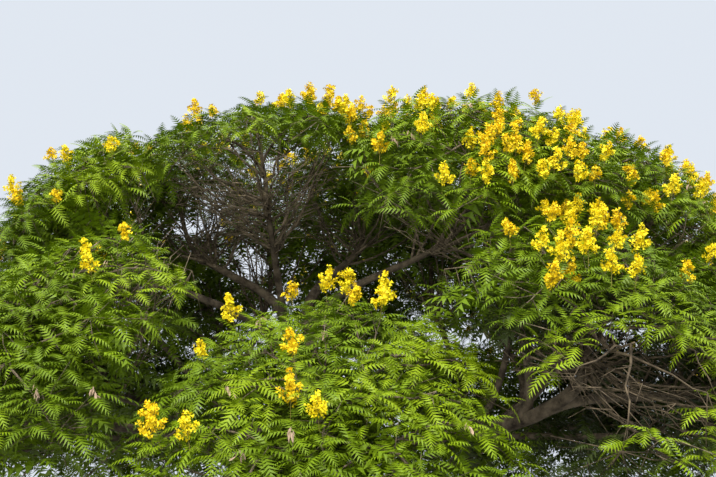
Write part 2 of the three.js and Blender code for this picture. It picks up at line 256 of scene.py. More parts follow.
# A blade's length along the leaf: at its first pair, more in the middle, less at its tip
BLADE_START = 0.74
BLADE_SWELL = 1.05
BLADE_TAPER = 0.38
BLADE_TURN = 22
BLADE_TURN_GAIN = 46

# A tuft of leaves round the end of its twig
LEAVES_IN_TUFT = 8
GOLDEN_ANGLE = 137.5
RANK_JITTER = 0.3
SPIN_JITTER = 14
TUFT_LEAN = 0.35
TUFT_ASIDE = (0.31, 0.95, 0.05)
TUFT_DEPTH = 0.14
TUFT_LIFT = (-14, 36)
LEAF_LEAN = 0.45
LEAF_TILT = 0.18
LEAF_SIZES = (1.06, 0.74)
LEAF_JITTER = (0.88, 1.12)

# Where the crown blossoms: shares at the left, at the right and in a patch in front
BLOOM_LEFT = (0.055, 0.3)
BLOOM_RIGHT = (0.48, 0.62)
BLOOM_ACROSS = (-3, 3)
BLOOM_HEIGHTS = (6, 9)
BLOOM_FRONT = 0.28
FRONT_MIDDLE = -0.6
FRONT_WIDTH = 2
FRONT_LIMIT = -4
LOWEST_BLOOM = (2.3, 4.2)
BLOOM_EDGE = 0.5
BLOOM_SEED = 24
BLOOM_LEAST = 0.1
BLOOM_MOST = 2.6
CROWN_MIDDLE = (0.7, 0, 3.8)
SHADE_START = 0.25
SHADE_WIDTH = 0.3
SHADE_COUNT = 1

# Spikes of blossom: longer on low tufts than on high ones, with side branches in a spiral
PANICLE_HEIGHTS = (4, 8)
LOW_PANICLE = (0.38, 0.62)
HIGH_PANICLE = (0.27, 0.46)
PANICLE_ASIDE = (0.2, 0.9, 0.1)
PANICLE_LEAN = 0.35
PANICLE_TILT = 0.1
PANICLE_LOBES = 5
LOBE_RISE = (0.3, 0.78)
LOBE_REACH = 0.5
LOBE_LEAST = 0.04
LOBE_OUT = 0.72
LOBE_UP = 0.62
TOP_LOBE_START = 0.3
STALK_RADII = np.array([0.005, 0.0025])
STALK_SIDES = 3
FLOWERS_PER_METRE = 150
FLOWER_SPAN = (0.2, 1)
FLOWER_FACING_UP = 0.5
PUFF = 0.034
PUFF_FOOT = 1.25
PUFF_TAPER = 0.7
PETALS = 3
PETAL_LENGTH = 0.034
PETAL_SIZES = (0.8, 1.2)
PETAL_FOOT = 0.02
PETAL_HALF_WIDTH = 0.68
PETAL_RISE = 0.45
PETAL_WAVES = (-0.12, 0.2)

# Dry pods, which hang in small bunches
POD_TUFTS = 90
PODS_IN_BUNCH = 5
POD_LENGTH = (0.09, 0.13)
POD_OUT = 0.1
POD_SCATTER = 0.03
POD_SWING = 0.45

# Screen colours, and the share of sprays in each green. The first green is painted shade kept for the cave
# and the second painted shade for low tufts.
LEAF_COLOURS = [
    (46, 58, 10), (84, 105, 8), (95, 119, 8), (100, 124, 8),
    (109, 133, 8), (117, 141, 9), (127, 149, 12),
]
TINT_SHARES = [0, 0, 0.18, 0.24, 0.26, 0.2, 0.12]
# Low tufts take a green so many steps deeper, as painted shade
LOW_PAINTED_SHADE_STEPS = 2
# Sprays above this height take a green one step paler, as painted light
PAINTED_LIGHT_HEIGHT = 6.4
PETAL_COLOURS = [(240, 218, 24), (234, 202, 14)]
STALK_COLOUR = (120, 112, 40)
POD_COLOUR = (178, 152, 132)
FLOOR_COLOUR = (160, 160, 156)
# Roughness and gloss
LEAF_FINISH = (0.5, 0.3)
PETAL_FINISH = (0.6, 0.3)
STALK_FINISH = (0.7, 0.5)
POD_FINISH = (0.8, 0.2)
FLOOR_FINISH = (0.9, 0.5)
BARK_FINISH = (0.9, 0.25)
# Kinds of bark: name, colours of its cracks and patches, and scale of the patches
BARKS = [
    ("bark", (50, 42, 36), (122, 109, 93), 5),
    ("twig_bark", (46, 39, 32), (150, 134, 113), 9),
    # The twig bark painted darker, as shade, for the twigs in the cave
    ("shaded_bark", (32, 26, 21), (122, 107, 88), 6),
]
PATCH_DETAIL = 8
PATCH_ROUGHNESS = 0.65
PATCH_RAMP = (0.34, 0.68)
GRAIN_FINENESS = 7
BUMP_STRENGTH = 0.5
BUMP_HEIGHT = 0.01

# Camera, light and floor
CAMERA_PLACE = (0.5, -18.9, 1.6)
CAMERA_TILT = 107
CAMERA_LENS = 50.28
CAMERA_SENSOR = 36
CAMERA_RANGE = 1000
# Suns: name, where each stands, strength, apparent size and linear colour
SUNS = [
    ("key", (0.28, -0.74, 0.9), 3.1, 9, (1, 0.97, 0.91)),
    ("fill", (-0.5, -0.82, 0.3), 3.5, 80, (1, 0.99, 0.82)),
]
SKY_COLOUR = (0.68, 0.73, 0.80, 1)
SKY_STRENGTH = 1.1
FLOOR_HALF = 400

UP = np.array([0.0, 0.0, 1.0])
CURVE_STEPS = 200
NEARLY_UPRIGHT = 0.8


# Small vector helpers
norm = np.linalg.norm


def unit(v):
    return v / np.maximum(norm(v, axis=-1, keepdims=True), 1e-9)


def lerp(a, b, t):
    return a + (b - a) * t


def share_between(low, high, value):
    return np.clip((value - low) / (high - low), 0, 1)


def spokes(across, other, angles):
    """Directions at these angles from one direction towards another that is square to it."""
    return across[..., None, :] * np.cos(angles)[:, None] + other[..., None, :] * np.sin(angles)[:, None]


def seeded(seed):
    """A number from 0 to 1 at each call, the same row of numbers for the same seed."""
    state = seed & MASK

    def draw():
        nonlocal state
        state = (state + SEED_STEP) & MASK
        t = ((state ^ (state >> 15)) * (state | 1)) & MASK
        t = ((t + (((t ^ (t >> 7)) * (t | 61)) & MASK)) & MASK) ^ t
        return ((t ^ (t >> 14)) & MASK) / (MASK + 1)

    return draw


class Curve:
    """A cubic curve, read by the share of its length."""

    def __init__(self, *points):
        self.ends = np.array(points, float)
        self.steps = np.linspace(0, 1, CURVE_STEPS + 1)
        runs = norm(np.diff(self.raw(self.steps), axis=0), axis=1)
        self.lengths = np.concatenate([[0], np.cumsum(runs)])

    @property
    def length(self):
        return self.lengths[-1]

    def raw(self, t):
        t = np.asarray(t, float)[..., None]
        a, b, c, d = self.ends
        return a * (1 - t) ** 3 + 3 * b * t * (1 - t) ** 2 + 3 * c * t * t * (1 - t) + d * t**3

    def time(self, share):
        return np.interp(np.asarray(share, float) * self.length, self.lengths, self.steps)

    def point(self, share):
        return self.raw(self.time(share))

    def tangent(self, share):
        t = self.time(share)[..., None]
        a, b, c, d = self.ends
        return unit((b - a) * (1 - t) ** 2 + 2 * (c - b) * t * (1 - t) + (d - c) * t * t)


# Trunk, main limbs and boughs
def grown_curve(parent, start_share, end, end_direction, leads):
    along = parent.tangent(start_share)
    start = parent.point(start_share)
    reach = norm(end - start)
    away = along if leads else unit(unit(end - start) + along)
    return Curve(start, start + away * reach * LEAVING, end - end_direction * reach * ARRIVING, end)


class Limb:
    def __init__(self, name, parent, start_share, end, end_direction, base, tip, pad=None):
        self.name = name
        self.leads = start_share == 1
        self.base = base
        self.tip = tip
        self.pad = pad
        self.boughs = []
        self.curve = grown_curve(parent, start_share, end, end_direction, self.leads)


trunk_curve = Curve(
    (0, 0, -TRUNK_BURIED),
    (0, 0, TRUNK_HEIGHT * TRUNK_BENDS[0]),
    (TRUNK_LEAN * LEAN_AT_BEND, 0, TRUNK_HEIGHT * TRUNK_BENDS[1]),
    (TRUNK_LEAN, 0, TRUNK_HEIGHT),
)


def main_limb(name, start_share, fork, base, tip):
    end = np.array(fork, float)
    outward = unit(end * (1, 1, 0))
    end_direction = unit(outward * hypot(end[0], end[1]) / end[2] + UP)
    return Limb(name, trunk_curve, start_share, end, end_direction, base, tip)


class Pad:
    """One umbrella of foliage, in a frame of its own: out, sideways and along its axis."""

    def __init__(self, tier, k, seed, random):
        self.azimuth = tier["turn"] + 360 * k / tier["count"] + WOBBLE_TURN * (random() - 0.5)
        wobble = WOBBLE_TOP * (random() - 0.5)
        self.name = f"{tier['name']}_{k + 1}"
        self.tier = tier["name"]
        self.seed = seed
        self.radius = tier["radius"]
        self.dome = tier["dome"]
        a, lean = radians(self.azimuth), radians(tier["lean"])
        drop = WINDOW_DROP if tier["name"] == LOW_TIER and self.in_window() else 0
        x = tier["x"] + tier["reach"] * OVAL_X * cos(a)
        y = tier["y"] + tier["reach"] * OVAL_Y * sin(a)
        self.top = np.array([x, y, tier["top"] + wobble - drop])
        outward = np.array([cos(a), sin(a), 0])
        self.out = outward * cos(lean) - UP * sin(lean)
        self.side = np.array([-sin(a), cos(a), 0])
        self.axis = outward * sin(lean) + UP * cos(lean)
        self.tips = []
        self.foot = self.place(0, 0, -PAD_DEPTH)
        self.heart = self.place(0, 0, -PAD_HEART)

    def in_window(self):
        return abs((self.azimuth - WINDOW_AZIMUTH + 180) % 360 - 180) < WINDOW_HALF_WIDTH

    def place(self, out, side, up):
        return self.top + self.out * out + self.side * side + self.axis * up

    def point(self, angle, reach, rise):
        """A point on the pad's dome where rise is 1, and straight below it where it is less."""
        top = -self.dome * (reach / self.radius) ** 2
        up = -PAD_DEPTH + (top + PAD_DEPTH) * rise
        return self.place(reach * cos(angle), reach * sin(angle), up)


def make_pads():
    pads = []
    random = seeded(SEED - 1)
    for tier in TIERS:
        for k in range(tier["count"]):
            pad = Pad(tier, k, SEED + len(pads), random)
            if not (tier["name"] == OPEN_TIER and pad.in_window()):
                pads.append(pad)
    return pads


def share_out_pads(pads, limbs):
    for pad in pads:
        def cost(limb):
            fork = limb.curve.ends[3]
            below = max(0, fork[2] + BOUGH_RISE - pad.foot[2])
            return norm(fork - pad.foot) + LOW_PAD_COST * below
        min(limbs, key=cost).boughs.append(pad)


def grow_boughs(limb):
    """The straightest bough goes on from the limb's tip, the others leave below it in turn."""
    tip, tangent = limb.curve.point(1), limb.curve.tangent(1)
    pads = sorted(limb.boughs, key=lambda pad: -(unit(pad.foot - tip) @ tangent))
    limb.boughs = []
    for k, pad in enumerate(pads):
        share = 1 if k == 0 else FIRST_FORK - FORK_STEP * (k - 1)
        base = limb.tip if k == 0 else BOUGH_BASE
        ends = share, pad.foot, pad.axis, base, BOUGH_TIP
        limb.boughs.append(Limb(f"{pad.name}_bough", limb.curve, *ends, pad))


pads = make_pads()
main_limbs = [main_limb(*row) for row in LIMBS]
share_out_pads(pads, main_limbs)
for limb in main_limbs:
    grow_boughs(limb)
boughs = [bough for limb in main_limbs for bough in limb.boughs]
hearts = np.array([pad.heart for pad in pads])


def sample_limbs():
    """Points along all limbs, their radii, and the index of the pad that each one carries."""
    points, radii, owners = [], [], []
    for limb in main_limbs + boughs:
        shares = np.linspace(0, 1, ceil(limb.curve.length / LIMB_SAMPLE) + 1)
        points.append(limb.curve.point(shares))
        radii.append(lerp(limb.base, limb.tip, shares))
        owners.append(np.full(len(shares), pads.index(limb.pad) if limb.pad else -1))
    return np.concatenate(points), np.concatenate(radii), np.concatenate(owners)


limb_points, limb_radii, limb_owners = sample_limbs()


# Room for twigs and leaves
def share_in_space(pad, start, end):
    """The share of the way from start to end that is nearer to this pad than to another."""
    others = np.array([other is not pad for other in pads])
    away = hearts[others] - pad.heart
    half = norm(away, axis=1) / 2
    away = unit(away)
    room = half - SPACE_GAP - away @ (start - pad.heart)
    step = away @ (end - start)
    if (room < 0).any():
        return 0
    ahead = step > 0
    return (room[ahead] / step[ahead]).min() if ahead.any() else inf


def in_space(pad, point):
    return share_in_space(pad, pad.heart, point) >= 1


def pad_reach(pad, angle):
    rim = pad.place(pad.radius * cos(angle), pad.radius * sin(angle), -pad.dome)
    return pad.radius * min(1, share_in_space(pad, pad.place(0, 0, -pad.dome), rim))


def leaf_reach(pad, angle):
    """How far out tufts go: short of a free rim, and almost up to a neighbouring pad."""
    reach = pad_reach(pad, angle)
    return min(reach - SEAM_INSET, pad.radius - RIM_INSET)


def inside_any(hollows, point, scale=1):
    for middle, along, sizes in hollows:
        forward = unit(np.array(along))
        side = unit(np.cross(forward, UP))
        way = np.stack([forward, side, np.cross(side, forward)]) @ (point - middle)
        if norm(way / sizes) < scale:
            return True
    return False


def beside_hollow(point):
    return inside_any(HOLLOWS, point, HOLLOW_EDGE)


def in_cave(point):
    return inside_any([CAVE], point)


def touches_limb(start, end, radius, pad):
    others = limb_owners != pads.index(pad)
    points = limb_points[others]
    way = end - start
    t = np.clip((points - start) @ way / (way @ way), 0, 1)
    gaps = norm(points - start - t[:, None] * way, axis=1)
    return (gaps < limb_radii[others] + radius + LIMB_GAP).any()


# Stem, twigs and sprays of a pad, by the rule of the solids
def grow_twigs(pad, random, rng):
    spin = random() * 360
    stem = dict(start=pad.foot, end=pad.point(0, 0, STEM_RISE), angle=spin, reach=0, radii=STEM_RADII)
    twigs = [stem]
    for i in range(TWIG_COUNT):
        angle = spin + 360 / TWIG_COUNT * i + JITTER_TURN * (random() - 0.5)
        reach = TWIG_REACH * pad_reach(pad, radians(angle))
        root = lerp(*TWIG_ROOTS, i / (TWIG_COUNT - 1))
        start = lerp(stem["start"], stem["end"], root)
        end = pad.point(radians(angle), reach, TWIG_RISE)
        twigs.append(dict(start=start, end=end, angle=angle, reach=reach, radii=TWIG_RADII))
    for twig in twigs:
        line = bent_line(twig["start"], twig["end"], rng.normal(0, TWIG_BEND, 3), LINE_STEPS)
        twig["line"] = crooked(line, TWIG_CROOK, LINE_KNOT, rng)
    return twigs


def plan_point(out, side, heading, length):
    """Angle and reach, in a pad's plan, of the place that lies ahead of another."""
    out += length * cos(heading)
    side += length * sin(heading)
    return atan2(side, out), hypot(out, side)


def grow_sprays(pad, twig, random):
    turns = SPRAY_TURNS if twig["reach"] else SPRAY_TURNS_ON_STEM
    sprays = []
    for fork, turn in zip(SPRAY_FORKS, turns):
        root = twig["line"][round(fork * LINE_STEPS)]
        heading = radians(twig["angle"] + turn + JITTER_TURN * (random() - 0.5))
        length = SPRAY_REACH * (1 - JITTER_REACH * random())
        at, walked = radians(twig["angle"]), twig["reach"] * fork
        angle, reach = plan_point(walked * cos(at), walked * sin(at), heading, length)
        reach = min(reach, pad_reach(pad, angle) - RIM_INSET)
        hang = SPRAY_HANG if twig["reach"] and fork == SPRAY_FORKS[-1] else 0
        tip = pad.point(angle, reach, 1) - pad.axis * (hang + SPRAY_SINK)
        sprays.append(dict(root=root, tip=tip, heading=heading))
    return sprays


# Meshes from arrays
def add_object(name, data):
    thing = bpy.data.objects.new(name, data)
    bpy.context.scene.collection.objects.link(thing)
    return thing


class Batch:
    """Collects points and faces, and makes one mesh of them."""

    def __init__(self):
        self.points, self.faces, self.count = [], [], 0

    def add(self, points, *faces):
        self.points.append(points.reshape(-1, 3))
        self.faces += [f + self.count for f in faces]
        self.count += len(self.points[-1])

    def add_copies(self, shape, turns, sizes, places):
        """Copies of one small shape, each turned, scaled and set at its place."""
        points, faces = shape
        placed = np.einsum("nij,pj->npi", turns * sizes[:, None, None], points) + places[:, None]
        self.add(placed, repeat_faces(faces, len(places), len(points)))

    def mesh(self, name, material, smooth):
        points = np.concatenate(self.points).astype(np.float32)
        corners = np.concatenate([f.ravel() for f in self.faces]).astype(np.int32)
        sizes = np.concatenate([np.full(len(f), f.shape[1]) for f in self.faces])
        mesh = bpy.data.meshes.new(name)
        mesh.vertices.add(len(points))
        mesh.vertices.foreach_set("co", points.ravel())
        mesh.loops.add(len(corners))
        mesh.loops.foreach_set("vertex_index", corners)
        mesh.polygons.add(len(sizes))
        starts = np.concatenate([[0], np.cumsum(sizes)[:-1]]).astype(np.int32)
        mesh.polygons.foreach_set("loop_start", starts)
        mesh.polygons.foreach_set("use_smooth", np.full(len(sizes), smooth))
        mesh.update(calc_edges=True)
        mesh.validate()
        mesh.materials.append(material)
        return add_object(name, mesh)


def ring_faces(rings, sides):
    """Quads between rings of points, and the last ring's end face."""
    ring, k = np.meshgrid(np.arange(rings - 1), np.arange(sides), indexing="ij")
    a = ring * sides + k
    b = ring * sides + (k + 1) % sides
    quads = np.stack([a, b, b + sides, a + sides], axis=-1).reshape(-1, 4)
    cap = (rings - 1) * sides + np.arange(sides)
    return quads, cap[None, :]


def repeat_faces(faces, count, size):
    """The same faces for each of a row of copies that have so many points each."""
    shifted = faces[None] + (np.arange(count) * size)[:, None, None]
    return shifted.reshape(-1, faces.shape[1])


def add_tubes(batch, lines, radii, sides):
    """Thin tubes along many lines of the same number of points."""
    lines = np.asarray(lines)
    tangents = unit(np.gradient(lines, axis=1))
    chords = unit(lines[:, -1] - lines[:, 0])
    upright = np.abs(chords[:, 2:3]) > NEARLY_UPRIGHT
    aside = np.where(upright, np.array([1.0, 0, 0]), UP)[:, None, :]
    across = unit(np.cross(tangents, aside))
    upward = np.cross(across, tangents)
    angles = np.arange(sides) * 2 * pi / sides
    points = lines[:, :, None] + spokes(across, upward, angles) * np.asarray(radii)[:, :, None, None]
    count, rings = lines.shape[:2]
    faces = ring_faces(rings, sides)
    batch.add(points, *[repeat_faces(f, count, rings * sides) for f in faces])


def bent_line(start, end, lift, steps):
    """A line that arches to one side between its ends."""
    t = np.linspace(0, 1, steps + 1)[:, None]
    return start + (end - start) * t + lift * 4 * t * (1 - t)


def crooked(line, size, every, rng):
    """The same line with a small bend at every few points, as where a branch has forked."""
    knots = np.arange(0, len(line), every)
    shifts = rng.normal(0, size, (len(knots), 3))
    shifts[[0, -1]] = 0
    steps = np.arange(len(line))
    return line + np.stack([np.interp(steps, knots, axis) for axis in shifts.T], axis=1)


# Bark
def bark_relief(points, depth, grain):
    """How far each bark point stands out: knobs, with narrow cracks along the limb."""
    out = np.empty(len(points))
    for i, p in enumerate(points):
        place = Vector(p) * grain
        crack = exp(-((noise.noise(place) / CRACK_WIDTH) ** 2))
        knob = KNOB_HEIGHT * noise.noise(place * KNOB_SCALE)
        fine = FINE_HEIGHT * noise.noise(place * FINE_SCALE)
        out[i] = depth * (knob + fine - crack)
    return out


def limb_frames(curve, shares):
    """Points, and two directions across the curve that don't turn round it."""
    centres, tangents = curve.point(shares), curve.tangent(shares)
    across = [unit(np.cross(tangents[0], LIMB_ASIDE))]
    for tangent in tangents[1:]:
        across.append(unit(across[-1] - tangent * (across[-1] @ tangent)))
    across = np.array(across)
    return centres, across, np.cross(tangents, across)


def add_bark(batch, curve, radius_at, first, sides, spacing, depth, grain):
    """A tube with the bark's relief, its grain stretched along the limb."""
    rings = max(LEAST_RINGS, round(curve.length / spacing))
    shares = np.linspace(first, 1, rings)
    centres, across, upward = limb_frames(curve, shares)
    angles = np.arange(sides) * 2 * pi / sides
    radii = radius_at(shares[:, None], angles[None, :])
    along = (shares * curve.length * GRAIN_STRETCH)[:, None] + 0 * radii
    rolled = np.stack([radii * np.cos(angles), radii * np.sin(angles), along], axis=-1)
    shift = curve.ends[0] + curve.ends[3]
    radii = radii + bark_relief(rolled.reshape(-1, 3) + shift, depth, grain).reshape(radii.shape)
    points = centres[:, None] + spokes(across, upward, angles) * radii[..., None]
    if first > 0:
        points[0, :, 2] = 0
    quads, cap = ring_faces(rings, sides)
    foot = np.arange(sides)[::-1][None, :]
    batch.add(points, quads, cap, foot)


def trunk_radius(shares, angles):
    lobes = 1 + LOBE_DEPTH * np.cos(FLARE_LOBES * angles)
    flare = FLARE * np.exp(-shares * TRUNK_HEIGHT / FLARE_HEIGHT) * lobes
    return lerp(TRUNK_FOOT, TRUNK_TOP, shares) + flare


def limb_radius(limb):
    def radius_at(shares, angles):
        if limb.leads:
            swell = LEADER_SWELL * np.exp(-shares / LEADER_SWELL_LENGTH) if limb.pad is None else 0
        else:
            swell = COLLAR_SWELL * limb.base * np.exp(-shares / COLLAR_LENGTH)
        return lerp(limb.base, limb.tip, shares) + swell + 0 * angles
    return radius_at


def make_bark(material):
    batch = Batch()
    first = TRUNK_BURIED / trunk_curve.length
    add_bark(batch, trunk_curve, trunk_radius, first, **TRUNK_BARK)
    trunk = batch.mesh("trunk_bark", material, True)
    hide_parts("trunk")
    pieces = [trunk]
    for limb in main_limbs:
        batch = Batch()
        add_bark(batch, limb.curve, limb_radius(limb), 0, **LIMB_BARK)
        for bough in limb.boughs:
            add_bark(batch, bough.curve, limb_radius(bough), 0, **BOUGH_BARK)
        piece = batch.mesh(f"{limb.name}_bark", material, True)
        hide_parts(limb.name, *[bough.name for bough in limb.boughs])
        pieces.append(piece)
    return pieces


# Leaves
def leaf_shape(pairs, length, spread, rise, bend, sway):
    """Points and faces of one double leaf, a metre long, in the plane of X and Y, arched in Z."""
    fine = np.linspace(0, 1, LEAF_STEPS + 1)
    slope = rise - bend * fine
    runs = np.stack([np.cos(slope), 0 * fine, np.sin(slope)], axis=1) / LEAF_STEPS
    path = np.concatenate([np.zeros((1, 3)), np.cumsum(runs, axis=0)[:-1]])
    path[:, 1] += sway * fine**2

    def place(share):
        return np.array([np.interp(share, fine, path[:, i]) for i in range(3)])

    points = [-STALK_SIDE, STALK_SIDE, place(FIRST_PAIR)]
    for k in range(pairs):
        along = k / (pairs - 1)
        share = lerp(FIRST_PAIR, LAST_PAIR, along**PAIR_CROWDING)
        half = spread / pairs * (1 - BLADE_THINNING * along)
        s = rise - bend * share
        forward = np.array([cos(s), 2 * sway * share, sin(s)])
        normal = np.array([-sin(s), 0, cos(s)])
        size = length * (BLADE_START + BLADE_SWELL * along * (1 - along) - BLADE_TAPER * along**2)
        turn = radians(BLADE_TURN + BLADE_TURN_GAIN * along**2)
        for hand in (-1, 1):
            way = np.array([0, hand, 0]) * cos(turn) + forward * sin(turn)
            tip = place(share) + way * size - normal * size * BLADE_DROOP
            points += [place(share - half), place(share + half), tip]
    return np.array(points), np.arange(len(points)).reshape(-1, 3)


def leaf_kinds(rng, pairs, length, spread):
    """Leaves that differ in their rise, their arch and their sway."""
    kinds = []
    for _ in range(LEAF_KINDS):
        arch = [rng.uniform(*limits) for limits in (LEAF_RISE, LEAF_BEND, LEAF_SWAY)]
        kinds.append(leaf_shape(pairs, length, spread, *arch))
    return kinds


def frames_from(forward, upward):
    """Rotation matrices whose X runs along forward and whose Z leans to upward."""
    across = unit(np.cross(upward, forward))
    return np.stack([forward, across, np.cross(forward, across)], axis=-1)


def tuft_leaves(tuft, rng):
    """Places, turns and lengths of the leaves of one tuft, spread round its twig's end."""
    n = LEAVES_IN_TUFT
    rank = (np.arange(n) + rng.uniform(-RANK_JITTER, RANK_JITTER, n)) / (n - 1)
    spin = GOLDEN_ANGLE * np.arange(n) + rng.uniform(0, 360)
    spin = np.radians(spin + rng.uniform(-SPIN_JITTER, SPIN_JITTER, n))
    axis = unit(lerp(UP, tuft["way"], TUFT_LEAN))
    across = unit(np.cross(axis, TUFT_ASIDE))
    radial = spokes(across, np.cross(axis, across), spin)
    lift = np.radians(lerp(*TUFT_LIFT, rank))[:, None]
    forward = unit(radial * np.cos(lift) + axis * np.sin(lift))
    upward = unit(lerp(UP, tuft["pad"].axis, LEAF_LEAN) + rng.normal(0, LEAF_TILT, (n, 3)))
    bases = tuft["tip"] - tuft["way"] * (TUFT_DEPTH * (1 - rank))[:, None]
    longest = LOW_LEAF_LENGTH if tuft["coarse"] else LEAF_LENGTH
    lengths = longest * lerp(*LEAF_SIZES, rank) * rng.uniform(*LEAF_JITTER, n)
    return bases, frames_from(forward, upward), lengths


def make_leaves(tufts, materials, rng):
    kinds = leaf_kinds(rng, **FINE_LEAF) + leaf_kinds(rng, **LOW_LEAF)
    rows = [tuft_leaves(tuft, rng) for tuft in tufts]
    bases, turns, lengths = (np.concatenate(part) for part in zip(*rows))
    tints = np.repeat([tuft["tint"] for tuft in tufts], LEAVES_IN_TUFT)
    coarse = np.repeat([tuft["coarse"] for tuft in tufts], LEAVES_IN_TUFT)
    chosen = rng.integers(0, LEAF_KINDS, len(bases)) + LEAF_KINDS * coarse
    pieces = []
    for tint, material in enumerate(materials):
        batch = Batch()
        for kind, shape in enumerate(kinds):
            own = (tints == tint) & (chosen == kind)
            batch.add_copies(shape, turns[own], lengths[own], bases[own])
        pieces.append(batch.mesh(f"leaves_{tint + 1}", material, False))
    return pieces


# Twigs and tufts
def clear_way(pad, start, end, radius):
    return in_space(pad, end) and not touches_limb(start, end, radius, pad)


def has_space_round(pad, tip, spacing):
    return not pad.tips or np.min(np.sum((np.array(pad.tips) - tip) ** 2, axis=1)) > spacing**2


def within_box(tip):
    return (tip > cad_low + EDGE_INSET).all() and (tip < cad_high - EDGE_INSET)[:2].all()


def pull_inside(tip):
    """The nearest place to a tuft's that keeps its leaves within the reach of the solids."""
    inset = EDGE_INSET * EDGE_SLACK
    return np.append(np.clip(tip[:2], cad_low[:2] + inset, cad_high[:2] - inset), tip[2])


def add_tuft(grown, pad, spray, root, tip, low):
    """A tuft and its twig, where there is room for them. Some beside a hollow have no leaves."""
    spacing = (BACK_SPACING if pad.top[1] > 0 else LOW_SPACING) if low else TUFT_SPACING
    if not within_box(tip) or not has_space_round(pad, tip, spacing):
        return
    if inside_any(HOLLOWS + SKY_GAPS, tip) or touches_limb(root, tip, TWIG_ROOM, pad):
        return
    way = unit(tip - root)
    pad.tips.append(tip)
    beside = low and beside_hollow(tip)
    coarse = low and not beside
    if beside and len(pad.tips) % BARE_OF < BARE_SHARE:
        grown["bare"].append((root, tip))
        return
    grown["tufts"].append(dict(pad=pad, tip=tip, way=way, spray=spray, low=low, coarse=coarse, tint=0))
    grown["low_sprigs" if low else "sprigs"].append((root, tip))


def grow_sprigs(grown, pad, spray, rng):
    """Finer twigs to either side of a spray's axis."""
    line = spray["line"]
    if in_space(pad, line[-1]):
        add_tuft(grown, pad, spray, line[END_TUFT_ROOT], line[-1], False)
    for i, fork in enumerate(SPRIG_FORKS):
        root = line[round(fork * LINE_STEPS)]
        hand = 1 if i % 2 else -1
        turn = hand * SPRIG_TURN + rng.uniform(-SPRIG_JITTER, SPRIG_JITTER)
        heading = spray["heading"] + radians(turn)
        length = SPRIG_REACH * lerp(1, SPRIG_TAPER, fork) * rng.uniform(*SPRIG_LENGTHS)
        way = root - pad.top
        angle, reach = plan_point(way @ pad.out, way @ pad.side, heading, length)
        reach = min(reach, leaf_reach(pad, angle))
        tip = pad.point(angle, reach, 1) - pad.axis * rng.uniform(*SPRIG_DROP)
        if in_space(pad, tip):
            add_tuft(grown, pad, spray, root, tip, False)


def fill_in(grown, pad, carriers, angle, reach, drop):
    """A tuft at a given place of the pad, on a twig from the nearest point of what carries it."""
    tip = pull_inside(pad.point(angle, reach, 1) - pad.axis * drop)
    lines = np.array([carrier["line"] for carrier in carriers])
    gaps = norm(lines - (tip - pad.axis * FILL_HANG), axis=2)
    carrier, at = np.unravel_index(gaps.argmin(), gaps.shape)
    if gaps.min() < FILL_REACH and in_space(pad, tip):
        add_tuft(grown, pad, carriers[carrier], lines[carrier, at], tip, drop > LOW_DROP)


def fill_pad(grown, pad, carriers, rng):
    """More tufts, in storeys, where the pad is still open, and a curtain of them down its free rim."""
    spin = rng.uniform(0, 2 * pi)
    storeys = STOREYS[pad.tier] + (BACK_STOREYS if pad.top[1] > 0 else ())
    for drop in storeys:
        for i in range(FILL_TRIES):
            angle = spin + radians(GOLDEN_ANGLE * i)
            reach = leaf_reach(pad, angle) * sqrt((i + 0.5) / FILL_TRIES)
            fill_in(grown, pad, carriers, angle, reach, drop + rng.uniform(-FILL_JITTER, FILL_JITTER))
    for drop in CURTAIN_DROPS:
        for i in range(CURTAIN_TRIES):
            angle = spin + 2 * pi * i / CURTAIN_TRIES
            reach = pad_reach(pad, angle)
            if reach > FREE_RIM * pad.radius:
                place = drop + rng.uniform(-FILL_JITTER, FILL_JITTER)
                fill_in(grown, pad, carriers, angle, reach - CURTAIN_INSET, place)


def grow_shoots(grown, pad, bough, rng):
    """Leafy shoots straight from the pad's bough."""
    carrier = dict(line=bough.curve.point(np.linspace(*SHOOT_SHARES, LINE_STEPS + 1)))
    for _ in range(SHOOTS[pad.tier]):
        root = carrier["line"][rng.integers(0, LINE_STEPS + 1)]
        way = unit(rng.normal(0, 1, 3) * SHOOT_SPREAD + UP * SHOOT_RISE)
        add_tuft(grown, pad, carrier, root, root + way * rng.uniform(*SHOOT_REACH), True)


def grow_ribs(grown, pad, bough, rng, key, count, forks, drops):
    """Bare branches under the leaves, which fan out from the bough's end, with thin side twigs."""
    for k in range(count):
        root = bough.curve.point(rng.uniform(*RIB_ROOTS))
        angle = radians(GOLDEN_ANGLE * k) + pad.seed
        reach = pad_reach(pad, angle) * rng.uniform(*RIB_REACH)
        tip = pad.point(angle, reach, 1) - pad.axis * rng.uniform(*drops)
        if key == "thin_ribs" and not beside_hollow(tip):
            continue
        if not clear_way(pad, root, tip, RIB_RADII[0]):
            continue
        sag = -pad.axis * norm(tip - root) * RIB_SAG + rng.normal(0, RIB_BEND, 3)
        line = crooked(bent_line(root, tip, sag, RIB_STEPS), RIB_CROOK, RIB_KNOT, rng)
        grown[key].append(line)
        for i in range(forks):
            fork = line[RIB_FIRST_FORK + round(i * (RIB_STEPS - RIB_FIRST_FORK) / (forks - 1))]
            turn = angle + (1 if i % 2 else -1) * rng.uniform(*RIB_TWIG_TURN)
            way = pad.out * cos(turn) + pad.side * sin(turn)
            way = unit(way + pad.axis * rng.uniform(*RIB_TWIG_RISE))
            end = fork + way * rng.uniform(*RIB_TWIG_REACH)
            if in_space(pad, end):
                grown["bare"].append((fork, end))


